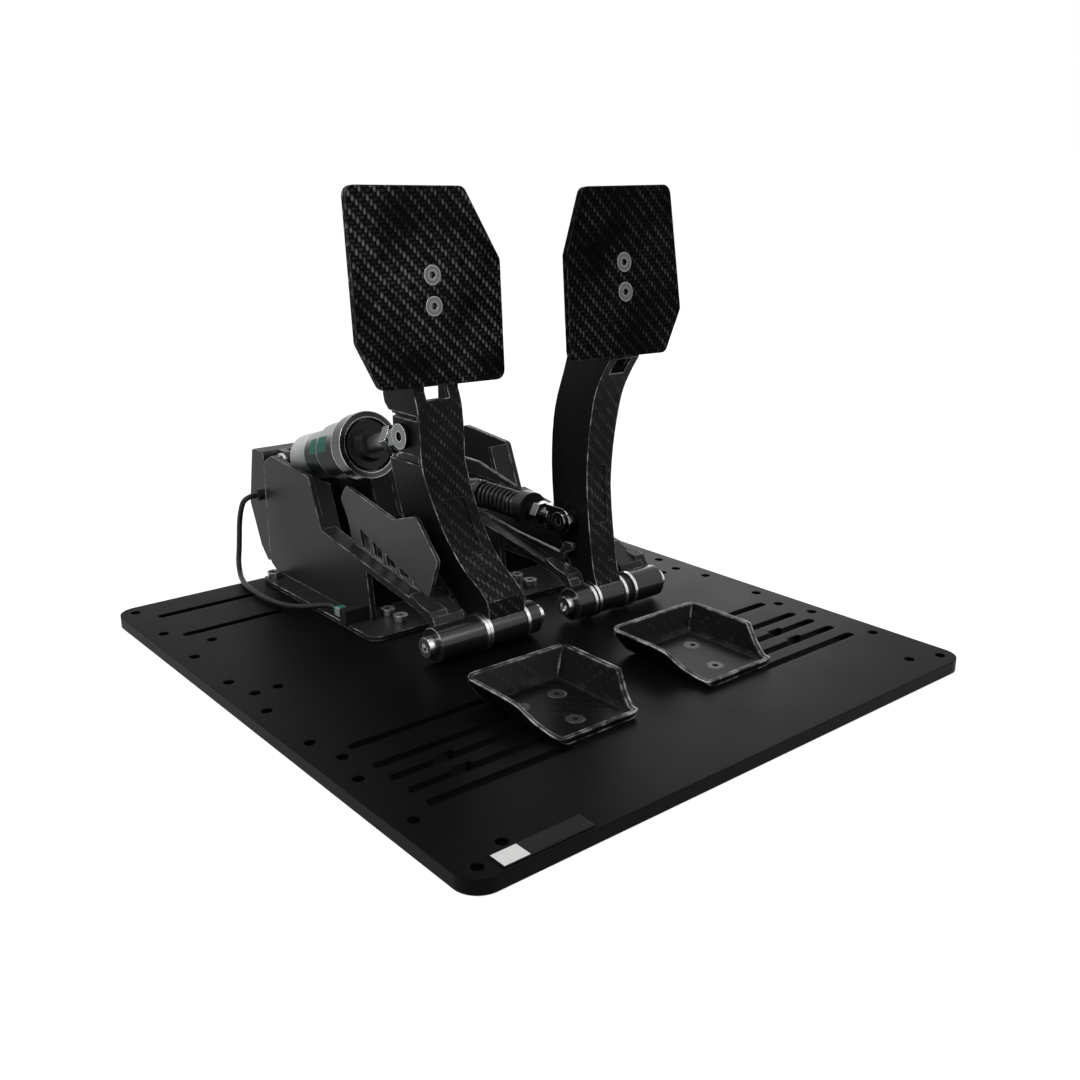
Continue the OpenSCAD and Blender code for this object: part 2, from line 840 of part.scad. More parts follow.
module damper_seal_head() {
  color(black)
    raised()
      damper_axis()
        difference() {
          union() {
            translate([0, 0, 66])
              cylinder(r1 = 10, r2 = 12, h = 7);
            translate([0, 0, collar_s])
              cylinder(r = can_r - 0.5, h = can_front - collar_s);
            translate([0, 0, can_front - 1])
              cylinder(r = can_r - 3 - fixed_gap, h = collar_end - can_front + 1);
          }
          translate([0, 0, 60])
            cylinder(r = damper_rod_r + running_gap, h = 40);
        }
}
module damper_collar() {
  color(silver)
    raised()
      damper_axis()
        difference() {
          translate([0, 0, collar_s])
            cylinder(r = collar_r, h = collar_end - collar_s);
          translate([0, 0, collar_s - 1])
            cylinder(r = can_r + 1.5, h = can_front - collar_s + 1);
          translate([0, 0, collar_s])
            cylinder(r = can_r + fixed_gap, h = 40);
        }
}
module damper_sleeve() {
  color([0.5, 0.52, 0.52])
    raised()
      damper_axis()
        translate([0, 0, collar_end])
          difference() {
            cylinder(r = sleeve_r, h = sleeve_end - collar_end);
            translate([0, 0, -1])
              cylinder(r = can_r + fixed_gap, h = 60);
          }
}
module damper_can() {
  color([0.7, 0.72, 0.71])
    raised()
      damper_axis()
        difference() {
          translate([0, 0, can_front])
            cylinder(r = can_r, h = can_end - can_front);
          translate([0, 0, can_front - 1])
            cylinder(r = can_r - 3, h = can_bore_end - can_front + 1);
        }
}
module damper_tail() {
  color(black)
    raised()
      damper_axis()
        difference() {
          union() {
            translate([0, 0, can_end])
              cylinder(r = 13, h = 4);
            translate([0, 0, can_end + 3])
              cylinder(r = 11, h = tail_end - can_end - 3);
            translate([0, 0, damper_len])
              rotate([0, 90, 0])
                cylinder(r = tail_eye_r, h = tail_eye_t, center = true);
            translate([-tail_eye_t / 2, -tail_eye_r, tail_end - 1])
              cube([tail_eye_t, 2 * tail_eye_r, damper_len - tail_end + 1]);
          }
          translate([0, 0, damper_len])
            rotate([0, 90, 0])
              cylinder(r = damper_pin_r + running_gap, h = tail_eye_t + 2, center = true);
        }
}
module damper_rear_pin() {
  c = brake_x + brake_top_u;
  lug = tail_eye_t / 2 + lug_gap + lug_t;
  color(silver)
    raised() {
      bar_x(damper_pin_r, c - lug - 1, c + lug + 1, damper_rear[0], damper_rear[1]);
      bar_x(7.5, c - lug - 3, c - lug, damper_rear[0], damper_rear[1]);
      bar_x(7.5, c + lug, c + lug + 3, damper_rear[0], damper_rear[1]);
    }
}
module damper_clevis() {
  c = brake_x + brake_top_u;
  gap = tail_eye_t / 2 + lug_gap;
  face_y = wall_rear_y - cell_t;
  color(carbon)
    raised()
      difference() {
        union() {
          for (m = [0, 1])
            translate([c, 0, 0])
              mirror([m, 0, 0])
                along_x(gap, gap + lug_t) {
                  translate(damper_rear)
                    circle(r = 8.5);
                  translate([damper_rear[0], damper_rear[1] - 12])
                    square([face_y - damper_rear[0], 20.5]);
                }
          translate([c - gap - lug_t, face_y - 3, damper_rear[1] - 20])
            cube([2 * gap + 2 * lug_t, 3, 28.5]);
        }
        bar_x(damper_pin_r + fixed_gap, c - 40, c + 40, damper_rear[0], damper_rear[1]);
        bar_x(tail_eye_r + lug_gap, c - gap, c + gap, damper_rear[0], damper_rear[1]);
      }
}
module brake_load_cell() {
  color(steel)
    raised()
      translate([brake_x + brake_top_u, wall_rear_y, damper_rear[1] - 9])
        rotate([90, 0, 0])
          cylinder(r = 12, h = cell_t);
}

// Pin joint between the throttle arm and the spring unit
module throttle_pin() {
  c = throttle_x + unit_u;
  side = throttle_x + throttle_arm_u - throttle_half;
  head_x = c - unit_eye_t / 2 - lug_gap;
  color(silver)
    raised()
      difference() {
        union() {
          bar_x(6.5, head_x - 2, head_x, throttle_pin_y, throttle_pin_z);
          bar_x(spring_pin_r, head_x - 1, side + arm_wall + 2, throttle_pin_y, throttle_pin_z);
          bar_x(6.5, side + arm_wall, side + arm_wall + 4, throttle_pin_y, throttle_pin_z);
        }
        translate([head_x - 2, throttle_pin_y, throttle_pin_z])
          rotate([0, -90, 0])
            hex_socket(3, 1.5);
      }
}
module throttle_pin_washer() {
  side = throttle_x + throttle_arm_u - throttle_half;
  color(silver)
    raised()
      ring_x(7, spring_pin_r + fixed_gap, throttle_x + unit_u + unit_eye_t / 2 + lug_gap, side,
        throttle_pin_y, throttle_pin_z);
}

// Throttle spring unit
module spring_eye() {
  color(silver)
    raised()
      unit_axis()
        difference() {
          union() {
            flat_eye(9, unit_eye_t, spring_pin_r + eye_gap, 16);
            translate([0, 0, 13])
              cylinder(r = unit_neck_r, h = nut_s - 13);
          }
          translate([0, 0, 12])
            cylinder(r = spring_rod_r + fixed_gap, h = 20);
        }
}
module spring_rod() {
  color(steel)
    raised()
      unit_axis()
        translate([0, 0, 12])
          cylinder(r = spring_rod_r, h = nut_s + 47);
}
module spring_lock_nut() {
  color(silver)
    raised()
      unit_axis()
        translate([0, 0, nut_s])
          difference() {
            cylinder(r = 8.5, h = 6, $fn = 6);
            translate([0, 0, -1])
              cylinder(r = spring_rod_r + fixed_gap, h = 10);
          }
}
module spring_cap() {
  color(black)
    raised()
      unit_axis()
        difference() {
          union() {
            translate([0, 0, nut_s + 6])
              cylinder(r = 7, h = 8);
            translate([0, 0, nut_s + 13])
              cylinder(r = spring_cap_r, h = spring_front - nut_s - 13);
          }
          translate([0, 0, 20])
            cylinder(r = spring_rod_r + fixed_gap, h = 40);
        }
}
// Coil as one tube: eight rings to a curl, six sides, the ends straight for one wire diameter
coil_pitch = (spring_rear - spring_front - wire_d - 0.2) / coil_turns;
coil_steps = 8 * coil_turns;
function coil_point(k) = [coil_r * cos(45 * k), coil_r * sin(45 * k),
  spring_front + 0.1 + wire_d / 2 + coil_pitch * k / 8];
coil_end_dir = unit3(coil_point(coil_steps) - coil_point(coil_steps - 1));
coil_start_dir = unit3(coil_point(0) - coil_point(1));
function unit3(v) = v / norm(v);
coil_path = concat([coil_point(0) + wire_d * [0, coil_start_dir[1], 0]],
  [for (k = [0:coil_steps]) coil_point(k)],
  [coil_point(coil_steps) + wire_d * [0, coil_end_dir[1], 0]]);
// Ring of points around the path at index i
function tube_ring(path, i, r, sides) =
  let (a = path[max(i - 1, 0)])
  let (b = path[min(i + 1, len(path) - 1)])
  let (t = unit3(b - a))
  let (up = abs(t[2]) > 0.9 ? [1, 0, 0] : [0, 0, 1])
  let (n = unit3(cross(up, t)))
  let (m = cross(t, n))
  [for (j = [0:sides - 1]) path[i] + r * (cos(360 * j / sides) * n + sin(360 * j / sides) * m)];
module tube(path, r, sides) {
  last = len(path) - 1;
  pts = [for (i = [0:last]) each tube_ring(path, i, r, sides)];
  side_faces = [for (i = [0:last - 1], j = [0:sides - 1])
    each [[i * sides + j, i * sides + (j + 1) % sides, (i + 1) * sides + (j + 1) % sides],
      [i * sides + j, (i + 1) * sides + (j + 1) % sides, (i + 1) * sides + j]]];
  caps = [for (j = [1:sides - 2]) each [[0, j + 1, j],
    [last * sides, last * sides + j, last * sides + j + 1]]];
  polyhedron(points = pts, faces = [for (f = concat(side_faces, caps)) [f[0], f[2], f[1]]]);
}
// Least distance between wire surfaces of neighbouring curls
coil_gap = min([for (i = [0:coil_steps], j = [i + 5:1:coil_steps])
  norm(coil_point(i) - coil_point(j))]) - wire_d;
echo(coil_gap = coil_gap);
module throttle_spring() {
  color(black)
    raised()
      unit_axis()
        tube(coil_path, wire_d / 2, 6);
}
module spring_guide() {
  color(black)
    raised()
      unit_axis()
        difference() {
          union() {
            translate([0, 0, spring_rear - 26])
              cylinder(r = coil_r - wire_d / 2 - 1.2, h = 28);
            translate([0, 0, spring_rear])
              cylinder(r = 10.5, h = 4);
            translate([0, 0, spring_rear + 3])
              cylinder(r = 7, h = 8);
            translate([0, 0, unit_len])
              rotate([0, 90, 0])
                cylinder(r = 8, h = 8, center = true);
            translate([-4, -6, spring_rear + 4])
              cube([8, 12, unit_len - spring_rear - 4]);
          }
          translate([0, 0, spring_rear - 27])
            cylinder(r = spring_rod_r + running_gap, h = 35);
          translate([0, 0, unit_len])
            rotate([0, 90, 0])
              cylinder(r = spring_pin_r + running_gap, h = 20, center = true);
        }
}
module spring_anchor() {
  c = throttle_x + unit_u;
  color(carbon)
    raised()
      difference() {
        along_x(c - 8.5, c + 8.5) {
          polygon([[115, bar_z(115)], [137, bar_z(137)], [137, 56], [134, 66], [122, 66], [117, 55]]);
          translate(anchor_pin)
            circle(r = 7.5);
        }
        along_x(c - 4 - lug_gap, c + 4 + lug_gap)
          polygon([[105, 55.4], [145, 55.4], [145, 80], [105, 80]]);
        bar_x(spring_pin_r + fixed_gap, c - 30, c + 30, anchor_pin[0], anchor_pin[1]);
      }
}
module spring_rear_pin() {
  c = throttle_x + unit_u;
  color(silver)
    raised() {
      bar_x(spring_pin_r, c - 9.5, c + 9.5, anchor_pin[0], anchor_pin[1]);
      bar_x(6, c - 11.5, c - 8.5, anchor_pin[0], anchor_pin[1]);
      bar_x(6, c + 8.5, c + 11.5, anchor_pin[0], anchor_pin[1]);
    }
}

// Throttle angle sensor
module throttle_magnet() {
  x = throttle_x + throttle_boss_u[1] + ring_t;
  color(steel)
    raised()
      ring_x(9, shaft_r + 1, x, x + 0.8, pivot_y, pivot_h);
}
module throttle_sensor() {
  x1 = throttle_x + throttle_right_tube - ring_t;
  x0 = throttle_x + throttle_boss_u[1] + ring_t + 1.4;
  color(black)
    raised()
      ring_x(10, shaft_r + fixed_gap, x0, x1, pivot_y, pivot_h);
}

// Heel rests: dishes flared to both sides and to the rear, with a low lip at the front
brake_heel = [-51, -100];
throttle_heel = [64, -100];
heel_plan = [[-39, 40], [39, 40], [39, -12], [27, -40], [-35, -40], [-39, -20]];
heel_plan_in = [[-36.5, 37.5], [36.5, 37.5], [36.5, -12.6], [25.4, -37.5], [-33.2, -37.5], [-36.5, -20.6]];
heel_foot = [-31, 23, 28];
heel_lean = [-0.5, 1, 0.75];
heel_marks = [[-21.4, 8], [6, 8], [-7, -23]];
heel_spots = [for (c = [brake_heel, throttle_heel], p = heel_marks) c + p];
heel_screw_r = 2.5;
heel_head_r = 5;
// Flared solid from height z0 to z1, its sides and rear moved inwards by the wall, its foot rounded
module heel_form(plan, r, wall, z0, z1) {
  far = z1 + 30;
  left = heel_foot[0] + wall * norm([1, heel_lean[0]]);
  right = heel_foot[1] - wall * norm([1, heel_lean[1]]);
  rear = heel_foot[2] - wall * norm([1, heel_lean[2]]);
  intersection() {
    along_y(-60, 60)
      polygon(rounded([[left + heel_lean[0] * z0, z0], [right + heel_lean[1] * z0, z0],
        [right + heel_lean[1] * far, far], [left + heel_lean[0] * far, far]], r, 5));
    along_x(-60, 60)
      polygon(rounded([[-90, z0], [rear + heel_lean[2] * z0, z0], [rear + heel_lean[2] * far, far],
        [-90, far]], r, 5));
    translate([0, 0, z0])
      linear_extrude(z1 - z0)
        polygon(rounded(plan, r));
  }
}
module heel_rest(c) {
  translate([c[0], c[1], 0])
    difference() {
      heel_form(heel_plan, 9, 0, 0, heel_h);
      heel_form(heel_plan_in, 6.5, heel_t, heel_t, heel_h + 2);
      along_x(-60, -4)
        polygon(rounded([[-90, 4], [-32, 4], [-20, 7.5], [-9, heel_h - 0.9], [2, heel_h + 0.01],
          [50, heel_h + 0.01], [50, 60], [-90, 60]], 10));
      along_x(-4.01, 60)
        polygon(rounded([[-90, 4], [-34, 4], [-24, 8.5], [-11, heel_h + 0.01], [50, heel_h + 0.01],
          [50, 60], [-90, 60]], 6));
      for (p = heel_marks)
        translate([p[0], p[1], -1]) {
          cylinder(r = heel_screw_r + fixed_gap, h = 10);
          translate([0, 0, 1])
            cylinder(r1 = heel_screw_r + fixed_gap, r2 = heel_head_r + fixed_gap, h = heel_t);
        }
    }
}
module brake_heel_rest() {
  color(carbon)
    raised()
      heel_rest(brake_heel);
}
module throttle_heel_rest() {
  color(carbon)
    raised()
      heel_rest(throttle_heel);
}
module heel_rest_screws() {
  color(steel)
    raised()
      for (p = heel_spots)
        translate([p[0], p[1], 0])
          difference() {
            union() {
              cylinder(r1 = heel_screw_r, r2 = heel_head_r, h = heel_t);
              translate([0, 0, 1 - plate_t])
                cylinder(r = heel_screw_r, h = plate_t);
            }
            translate([0, 0, heel_t])
              hex_socket(2, 1.4);
          }
}

// Sensor wiring of the brake
module control_board() {
  color([0.05, 0.2, 0.12])
    raised()
      translate([brake_x + left_in, 100, 8])
        cube([1.6, 70, 30]);
}
plug_x = brake_x - 9;
plug_z = 9;
module cable_socket() {
  color(black)
    raised()
      translate([brake_x - 13, 78, floor_t])
        cube([wall_inset + 13, 8, 10]);
}
module cable_plug() {
  color([0.8, 0.85, 0.8])
    raised()
      translate([plug_x - 3.5, 86, plug_z - 3])
        cube([7, 12, 6]);
}
cable_r = 2;
gland_y = wall_rear_y + 6;
gland_z = 60;
gland_len = 5;
cable_path = [[brake_x + wall_inset - gland_len, gland_y, gland_z], [brake_x - 5, gland_y, gland_z],
  [brake_x - 10, gland_y + 1, gland_z - 3], [brake_x - 12.5, gland_y + 2, gland_z - 10],
  [brake_x - 14, gland_y + 3, 40], [brake_x - 15, gland_y + 3, 30], [brake_x - 16.5, gland_y + 2, 20],
  [brake_x - 18.5, gland_y, 12], [brake_x - 21, gland_y - 6, 6], [brake_x - 24, gland_y - 15, 3.2],
  [brake_x - 27, gland_y - 27, 2.4], [brake_x - 29, 188, 2.4], [brake_x - 29.5, 174, 2.4],
  [brake_x - 29, 160, 2.4], [brake_x - 27, 146, 2.6], [brake_x - 23.5, 133, 3.6],
  [brake_x - 18.5, 121, 5.6], [brake_x - 12.5, 111, 8], [plug_x, 103, plug_z], [plug_x, 98, plug_z]];
module sensor_cable() {
  color(black)
    raised()
      tube(cable_path, cable_r, 10);
}
module cable_gland() {
  color(black)
    raised()
      bar_x(4, brake_x + wall_inset - gland_len, brake_x + wall_inset, gland_y, gland_z);
}

base_plate();
brake_frame();
brake_bulkhead();
brake_frame_bolts();
brake_pivot_shaft();
brake_thrust_rings();
brake_pivot_screws();
brake_arm();
brake_bushes();
brake_face();
brake_face_screws();
brake_pin();
brake_pin_spacers();
damper_eyelet();
damper_rod();
damper_lock_nut();
damper_piston();
damper_seal_head();
damper_collar();
damper_sleeve();
damper_can();
damper_tail();
damper_rear_pin();
damper_clevis();
brake_load_cell();
throttle_frame();
throttle_bulkhead();
throttle_frame_bolts();
throttle_pivot_shaft();
throttle_thrust_rings();
throttle_pivot_screws();
throttle_arm();
throttle_bushes();
throttle_face();
throttle_face_screws();
throttle_pin();
throttle_pin_washer();
spring_eye();
spring_rod();
spring_lock_nut();
spring_cap();
throttle_spring();
spring_guide();
spring_anchor();
spring_rear_pin();
throttle_magnet();
throttle_sensor();
brake_heel_rest();
throttle_heel_rest();
heel_rest_screws();
control_board();
cable_socket();
cable_plug();
sensor_cable();
cable_gland();
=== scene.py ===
import math

import bmesh
import bpy
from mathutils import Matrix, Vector


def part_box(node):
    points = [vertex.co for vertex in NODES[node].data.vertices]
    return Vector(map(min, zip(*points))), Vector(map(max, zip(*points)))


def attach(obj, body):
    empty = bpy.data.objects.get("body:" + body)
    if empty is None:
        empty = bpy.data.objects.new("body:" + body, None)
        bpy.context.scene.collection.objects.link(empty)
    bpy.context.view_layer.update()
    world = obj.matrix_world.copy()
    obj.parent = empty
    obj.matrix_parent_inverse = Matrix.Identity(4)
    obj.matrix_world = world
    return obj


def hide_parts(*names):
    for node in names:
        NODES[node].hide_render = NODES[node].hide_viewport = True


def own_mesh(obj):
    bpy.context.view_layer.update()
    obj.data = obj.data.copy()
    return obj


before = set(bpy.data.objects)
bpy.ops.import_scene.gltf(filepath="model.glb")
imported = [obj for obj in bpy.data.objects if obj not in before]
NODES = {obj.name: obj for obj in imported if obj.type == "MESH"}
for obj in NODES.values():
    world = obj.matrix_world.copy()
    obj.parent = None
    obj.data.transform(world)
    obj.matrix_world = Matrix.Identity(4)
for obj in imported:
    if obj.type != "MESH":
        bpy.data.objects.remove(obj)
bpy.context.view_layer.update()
scene = bpy.context.scene
MM = 0.001

# Places in the source that the paint goes by
PIVOT_Y, PIVOT_Z = -6 * MM, 20.5 * MM
TUBE_REACH = 11.4 * MM
CHEEK_X = (-58.4 * MM, -55.1 * MM)
DAMPER_PIN = Vector((-0.046, 0.0345, 0.145))
DAMPER_SLOPE = math.radians(16)
# Front pockets of the arms: middle at the foot and at the head, half width, lowest and highest level
BRAKE_POCKET = [q * MM for q in (-26.85, -39.25, 10.6, 64.4, 105.6)]
THROTTLE_POCKET = [q * MM for q in (70.6, 70.6, 8.1, 70.4, 113.6)]


def add_object(name, data):
    ob = bpy.data.objects.new(name, data)
    scene.collection.objects.link(ob)
    return ob


def stand(ob, at, back):
    """Put a camera or lamp at a place, with the way that its back points."""
    ob.location = at
    ob.rotation_mode = "QUATERNION"
    ob.rotation_quaternion = back.to_track_quat("Z", "Y")


# Camera, solved from the photograph
CAMERA_AT = (-0.4343, -0.5467, 0.2920)
AZIMUTH, ELEVATION = math.radians(-39.623), math.radians(17.410)
cam_data = bpy.data.cameras.new("camera")
cam_data.sensor_width = 36
cam_data.lens = 37.513
cam_data.clip_start, cam_data.clip_end = 0.01, 200
cam = add_object("camera", cam_data)
stand(cam, CAMERA_AT, Vector((math.sin(AZIMUTH) * math.cos(ELEVATION),
                              -math.cos(AZIMUTH) * math.cos(ELEVATION), math.sin(ELEVATION))))
scene.camera = cam
scene.view_settings.view_transform = "Standard"


# Shader arithmetic
class Value:
    """A number, vector or colour that varies over a surface, with the arithmetic of Math nodes."""

    def __init__(self, nt, socket):
        self.nt = nt
        self.socket = socket

    def calc(self, operation, *others):
        return calc(self.nt, operation, self, *others)

    def __add__(self, other):
        return self.calc("ADD", other)

    def __sub__(self, other):
        return self.calc("SUBTRACT", other)

    def __rsub__(self, other):
        return calc(self.nt, "SUBTRACT", other, self)

    def __mul__(self, other):
        return self.calc("MULTIPLY", other)

    def __truediv__(self, other):
        return self.calc("DIVIDE", other)

    def __pow__(self, other):
        return self.calc("POWER", other)

    def above(self, level):
        return self.calc("GREATER_THAN", level)

    def below(self, level):
        return self.calc("LESS_THAN", level)

    def between(self, low, high):
        return self.above(low) * self.below(high)

    def at_least(self, level):
        return self.calc("MAXIMUM", level)

    def at_most(self, level):
        return self.calc("MINIMUM", level)

    def parts(self):
        split = new_node(self.nt, "SeparateXYZ", Vector=self)
        return [Value(self.nt, socket) for socket in split.outputs]


def put(nt, socket, value):
    if isinstance(value, Value):
        nt.links.new(value.socket, socket)
    else:
        socket.default_value = value


def new_node(nt, kind, **inputs):
    node = nt.nodes.new("ShaderNode" + kind)
    for name, value in inputs.items():
        put(nt, node.inputs[name], value)
    return node


def calc(nt, operation, *values, kind="Math", output=0):
    node = new_node(nt, kind)
    node.operation = operation
    for socket, value in zip(node.inputs, values):
        put(nt, socket, value)
    return Value(nt, node.outputs[output])


def vector_calc(nt, operation, a, b):
    return calc(nt, operation, a, b, kind="VectorMath", output="Value")


def mix(t, a, b, data_type, sockets):
    first, second, output = sockets
    node = new_node(t.nt, "Mix")
    node.data_type = data_type
    for k, value in ((0, t), (first, a), (second, b)):
        put(t.nt, node.inputs[k], value)
    return Value(t.nt, node.outputs[output])


# Sockets of a Mix node: first input, second input and output
NUMBER_SOCKETS, COLOUR_SOCKETS = (2, 3, 0), (6, 7, 2)


def lerp(t, a, b):
    return mix(t, a, b, "FLOAT", NUMBER_SOCKETS)


def tint(t, a, b):
    a, b = (c if isinstance(c, Value) else (*c, 1) for c in (a, b))
    return mix(t, a, b, "RGBA", COLOUR_SOCKETS)


def grey(level):
    return (level, level, level)


def shaded(colour, share):
    return tuple(c * share for c in colour)


def half_wave(t):
    return (t * math.pi).calc("SINE")


NOISE_ROUGHNESS = 0.55
OCCLUSION_SAMPLES = 4
EDGE_SAMPLES, ROUND_SAMPLES = 6, 4
EDGE_GAIN, EDGE_OPEN_REACH, EDGE_OPEN_POWER = 6.0, 4 * MM, 3.0


class Surface:
    """A new material: its shader, its node tree and the frame's coordinates on it."""

    def __init__(self, name):
        self.material = bpy.data.materials.new(name)
        self.material.use_nodes = True
        self.nt = self.material.node_tree
        self.shader = self.nt.nodes["Principled BSDF"]
        coordinates = new_node(self.nt, "TexCoord")
        self.place = Value(self.nt, coordinates.outputs["Object"])
        self.facing = Value(self.nt, coordinates.outputs["Normal"])
        self.x, self.y, self.z = self.place.parts()

    def set(self, socket, value):
        put(self.nt, self.shader.inputs[socket], value)

    def noise(self, scale, detail=2, at=None):
        """Noise over the surface, or over three lengths given instead."""
        vector = self.place
        if at:
            vector = Value(self.nt, new_node(self.nt, "CombineXYZ", X=at[0], Y=at[1], Z=at[2]).outputs[0])
        node = new_node(self.nt, "TexNoise", Vector=vector, Scale=scale, Detail=detail,
                        Roughness=NOISE_ROUGHNESS)
        return Value(self.nt, node.outputs[0])

    def uneven(self, scale, gain, drop, least, detail=2):
        """Noise drawn apart into patches, with a least share between them."""
        return (self.noise(scale, detail) * gain - drop).at_least(least)

    def rounded_normal(self, radius, samples):
        node = new_node(self.nt, "Bevel", Radius=radius)
        node.samples = samples
        return Value(self.nt, node.outputs[0])

    def openness(self, reach, power, own_only):
        """One in the open, falling to nought in a corner."""
        node = new_node(self.nt, "AmbientOcclusion", Distance=reach)
        node.samples = OCCLUSION_SAMPLES
        node.only_local = own_only
        return Value(self.nt, node.outputs["AO"]) ** power

    def edge_line(self, radius):
        """One along an outer edge and nought on the flat or in a corner."""
        flat = Value(self.nt, new_node(self.nt, "NewGeometry").outputs["Normal"])
        rounded = self.rounded_normal(radius, EDGE_SAMPLES)
        turn = (1.0 - vector_calc(self.nt, "DOT_PRODUCT", rounded, flat)) * EDGE_GAIN
        return (turn * self.openness(EDGE_OPEN_REACH, EDGE_OPEN_POWER, True)).at_most(1.0)

    def sides(self):
        """Two lengths across the surface, picked by the way it faces, and whether it is a flank."""
        ax, ay, az = (n.calc("ABSOLUTE") for n in self.facing.parts())
        flank = ax.above(ay.at_least(az))
        level = az.above(ax.at_least(ay))
        return lerp(flank, self.x, self.y), lerp(level, self.z, self.y), flank

    def relief(self, height, depth, strength, edge):
        """Bumps on the surface and, where a radius is given, edges that are rounded in the shading."""
        node = new_node(self.nt, "Bump", Strength=strength, Distance=depth, Height=height)
        if edge:
            put(self.nt, node.inputs["Normal"], self.rounded_normal(edge, ROUND_SAMPLES))
        self.set("Normal", Value(self.nt, node.outputs[0]))


# Carbon fibre
FIBRE_SCALE, FIBRE_STRETCH = 900, 9.0
GLINT_SHIFT, GLINT_ALONG, GLINT_ACROSS = 0.65, 2.0, 1.5
SWELL_ACROSS, SWELL_STRENGTH = 0.6, 0.6
WEFT_LOSS = 0.85
GRAIN_GAIN, GRAIN_LEAST = 1.2, 0.4
GRAIN_ROUGHNESS = 0.16
TUBE_METAL, TUBE_GLOSS = 0.8, 0.14
POCKET_CALM = 0.85
STROKE_SCALE, STROKE_STRETCH = 1300, 0.06
RESIN_ROUGHNESS, RESIN_IOR = 0.2, 1.3


def twill(u, v):
    """Two by two twill: whether the weft is on top, and how far along and across its tow, 0 to 1."""
    step = (u.calc("FLOOR") + v.calc("FLOOR")).calc("FLOORED_MODULO", 4.0)
    weft = step.above(1.5)
    half = step - weft * 2.0
    fu, fv = u.calc("FRACT"), v.calc("FRACT")
    return weft, (half + lerp(weft, fv, fu)) * 0.5, lerp(weft, fu, fv)


def cheek_painted_sheen(s):
    """Brushed satin with a painted sheen that makes it lighter than the frame, its strokes drawn out along
    the pedal.
    """
    strokes = s.noise(STROKE_SCALE, at=(0.0, s.y * STROKE_STRETCH, s.z))
    return tint(strokes, (0.046, 0.0465, 0.0445), (0.080, 0.081, 0.0775))


def on_tube(s):
    dy, dz = s.y - PIVOT_Y, s.z - PIVOT_Z
    return (dy * dy + dz * dz).calc("SQRT").below(TUBE_REACH)


def in_pocket(s, foot, head, half, low, high):
    t = (s.z - low) / (high - low)
    off = (s.x - lerp(t, foot, head)).calc("ABSOLUTE")
    return off.below(half) * t.between(0.0, 1.0)


def carbon(name, tow, dark, light, rough, spec, edge, relief, rim, coat=0.0, tube=None, plain=0.0,
           cheek=None, pockets=()):
    """Twill under clear resin with a painted highlight along its edges, its weave faded on flanks.

    It may have a bright pivot tube, a painted satin sheen on a cheek in a range of x, and pockets with
    little painted edge highlight.
    """
    s = Surface(name)
    u, v, flank = s.sides()
    weft, along, across = twill(u / tow, v / tow)
    side = half_wave(across)
    grain = lerp(weft, s.noise(FIBRE_SCALE, at=(u * FIBRE_STRETCH, v, 0.0)),
                 s.noise(FIBRE_SCALE, at=(u, v * FIBRE_STRETCH, 0.0)))
    glint = half_wave(along ** GLINT_SHIFT) ** GLINT_ALONG * side ** GLINT_ACROSS
    flecks = s.uneven(scale=240, gain=4.0, drop=1.1, least=0.15)
    patches = s.uneven(scale=28, gain=4.2, drop=1.2, least=0.12)
    level = glint * (1.0 - weft * WEFT_LOSS) * flecks * (grain * GRAIN_GAIN + GRAIN_LEAST) * patches
    colour = tint(level * (1.0 - flank * plain), dark, light)
    gloss = rough - GRAIN_ROUGHNESS / 2
    if cheek:
        # Painted sheen on the cheek's flanks
        colour = tint(s.x.between(*cheek) * flank, colour, cheek_painted_sheen(s))
    if tube:
        near = on_tube(s)
        colour = tint(near, colour, tube)
        gloss = lerp(near, gloss, TUBE_GLOSS)
        s.set("Metallic", near * TUBE_METAL)
    # Painted highlight: a pale broken line along the outer edges, weaker in the pockets
    painted_edge_highlight = s.edge_line(edge) * s.uneven(scale=110, detail=3, gain=4.5, drop=1.8, least=0.1)
    for pocket in pockets:
        painted_edge_highlight = painted_edge_highlight * (1.0 - in_pocket(s, *pocket) * POCKET_CALM)
    s.set("Base Color", tint(painted_edge_highlight.at_most(1.0), colour, grey(rim)))
    s.set("Roughness", grain * GRAIN_ROUGHNESS + gloss)
    s.set("Specular IOR Level", spec)
    s.set("Coat Weight", coat)
    s.set("Coat Roughness", RESIN_ROUGHNESS)
    s.set("Coat IOR", RESIN_IOR)
    s.relief(half_wave(along) * side ** SWELL_ACROSS, relief, SWELL_STRENGTH, edge)
    return s.material


# Paint, mouldings and rubber
SLOW_SCALE, SLOW_TONE, FINE_TONE = 22, 0.8, 0.35
SLOW_ROUGHNESS = 0.14
GRAIN_STRENGTH = 0.5


def coated(name, dark, light, rough, spec, grain_scale, grain_depth, edge=0.6 * MM):
    """A fine surface grain and slow changes of tone."""
    s = Surface(name)
    slow, fine = s.noise(SLOW_SCALE, detail=3), s.noise(grain_scale)
    s.set("Base Color", tint(slow * SLOW_TONE + fine * FINE_TONE, dark, light))
    s.set("Roughness", slow * SLOW_ROUGHNESS + (rough - SLOW_ROUGHNESS / 2))
    s.set("Specular IOR Level", spec)
    s.relief(fine, grain_depth, GRAIN_STRENGTH, edge)
    return s.material


# Metals
BRUSH_SCALE, BLOTCH_SCALE = 1500, 60
BRUSH_DEPTH, BRUSH_STRENGTH, BRUSH_ROUGHNESS = 0.02 * MM, 0.4, 0.2
WORN_SHARE, SHADE_RING_SHARE, CORNER_SHADE_SHARE = 0.72, 0.5, 0.06
CORNER_SHADE_REACH, CORNER_SHADE_POWER = 3 * MM, 1.6
SHADE_RING_PITCH = 2.5 * MM
HEAD_DEPTH = 2.5 * MM
WELD = 0.001 * MM


